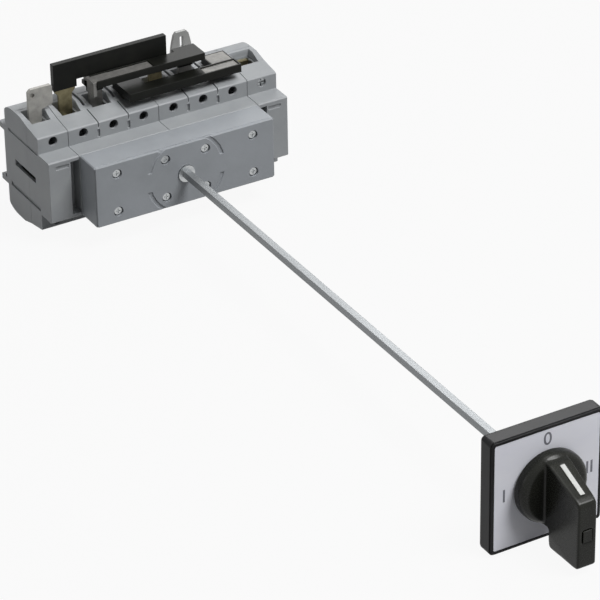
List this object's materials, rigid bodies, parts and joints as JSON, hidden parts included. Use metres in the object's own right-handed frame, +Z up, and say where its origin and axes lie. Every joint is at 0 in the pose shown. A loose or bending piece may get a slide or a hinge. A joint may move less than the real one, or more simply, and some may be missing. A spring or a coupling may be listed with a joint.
{
  "type": "changeover switch",
  "caption": "Rail-mounted I-0-II changeover switch with two four-pole load-break units, a geared mechanism, bridging bars, a long square shaft and a door plate with a lever knob.",
  "frame": {"origin": "middle of the 35 mm rail seat, on the plane of the rail's front face", "axes": "+X to the viewer's right along the rail, +Y into the mounting panel along the shaft, +Z up"},
  "size_m": [0.18, 0.5678, 0.1104],
  "materials": {
    "housing": "moulded, fine texture",
    "mechanism_case": "moulded, fine texture",
    "steel": "zinc plated",
    "shaft_steel": "zinc plated, drawn bar",
    "copper": "bare, dulled",
    "tinned_copper": "tin plated",
    "bar_insulation": "satin",
    "gear_plastic": "moulded acetal",
    "carriage_plastic": "moulded",
    "clip_plastic": "moulded",
    "plate_plastic": "satin",
    "label": "brushed, anodised look",
    "gasket": "matte",
    "knob_plastic": "satin gloss",
    "indicator": "printed"
  },
  "bodies": {
    "switch": {"switch_base_1": "housing", "switch_base_2": "housing", "end_pole_base_1": "housing", "end_pole_base_2": "housing", "switch_cover_1": "housing", "switch_cover_2": "housing", "end_pole_cover_1": "housing", "end_pole_cover_2": "housing", "mechanism_plate": "steel", "mechanism_housing": "mechanism_case", "housing_screws": "steel", "terminal_cages": "steel", "terminal_screws": "steel", "fixed_contacts": "copper", "arc_plates": "steel", "bridge_bar_1": "copper", "bridge_bar_2": "tinned_copper", "bridge_bar_3": "tinned_copper", "bar_sleeve_1": "bar_insulation", "bar_channel_2": "bar_insulation", "bar_channel_3": "bar_insulation", "end_terminal_tab": "tinned_copper", "joining_pins": "steel", "clip_spring_1": "steel", "clip_spring_2": "steel"},
    "shaft_set": {"drive_hub": "steel", "centre_gear": "gear_plastic", "operating_shaft": "shaft_steel", "hub_set_screw": "steel"},
    "gear_1": {"driven_gear_1": "gear_plastic", "drive_spindle_1": "steel", "spindle_clips_1": "steel"},
    "gear_2": {"driven_gear_2": "gear_plastic", "drive_spindle_2": "steel", "spindle_clips_2": "steel"},
    "carriage_1": {"contact_carriage_1": "carriage_plastic", "moving_contacts_1": "copper"},
    "carriage_2": {"contact_carriage_2": "carriage_plastic", "moving_contacts_2": "copper"},
    "clip_1": {"rail_clip_1": "clip_plastic"},
    "clip_2": {"rail_clip_2": "clip_plastic"},
    "door_plate": {"escutcheon_plate": "plate_plastic", "label_plate": "label", "door_gasket": "gasket"},
    "knob_set": {"knob": "knob_plastic", "knob_bush": "steel", "knob_retainer": "steel", "knob_indicator": "indicator"},
    "padlock_bolt": {"padlock_slider": "knob_plastic"}
  },
  "joints": [
    {"name": "shaft_turn", "type": "hinge", "parent": "switch", "child": "shaft_set", "pos_m": [0, -0.08, 0], "axis": [0, 1, 0], "range_deg": [-90, 90]},
    {"name": "gear_1_turn", "type": "hinge", "parent": "switch", "child": "gear_1", "pos_m": [-0.033, -0.077, 0], "axis": [0, 1, 0], "range_deg": [-90, 90]},
    {"name": "gear_2_turn", "type": "hinge", "parent": "switch", "child": "gear_2", "pos_m": [0.033, -0.077, 0], "axis": [0, 1, 0], "range_deg": [-90, 90]},
    {"name": "carriage_1_slide", "type": "slide", "parent": "switch", "child": "carriage_1", "axis": [1, 0, 0], "range_m": [-0.0055, 0.0055]},
    {"name": "carriage_2_slide", "type": "slide", "parent": "switch", "child": "carriage_2", "axis": [1, 0, 0], "range_m": [-0.0055, 0.0055]},
    {"name": "rail_clip_1_slide", "type": "slide", "parent": "switch", "child": "clip_1", "axis": [0, 0, 1], "range_m": [0, 0.003], "stiffness_N_per_m": 900, "springref_m": -0.002, "deforming": ["clip_spring_1"]},
    {"name": "rail_clip_2_slide", "type": "slide", "parent": "switch", "child": "clip_2", "axis": [0, 0, 1], "range_m": [0, 0.003], "stiffness_N_per_m": 900, "springref_m": -0.002, "deforming": ["clip_spring_2"]},
    {"name": "door_plate_off", "type": "slide", "parent": "switch", "child": "door_plate", "axis": [0, -1, 0], "range_m": [0, 0.04]},
    {"name": "knob_turn", "type": "hinge", "parent": "door_plate", "child": "knob_set", "pos_m": [0, -0.52, 0], "axis": [0, 1, 0], "range_deg": [-90, 90]},
    {"name": "padlock_slide", "type": "slide", "parent": "knob_set", "child": "padlock_bolt", "axis": [0, -1, 0], "range_m": [0, 0.009]}
  ],
  "couplings": [
    {"joint": "gear_1_turn", "follows": "shaft_turn", "ratio": -1},
    {"joint": "gear_2_turn", "follows": "shaft_turn", "ratio": -1},
    {"joint": "carriage_1_slide", "follows": "shaft_turn", "m_per_rad": -0.0035},
    {"joint": "carriage_2_slide", "follows": "shaft_turn", "m_per_rad": -0.0035},
    {"joint": "knob_turn", "follows": "shaft_turn", "ratio": 1}
  ]
}
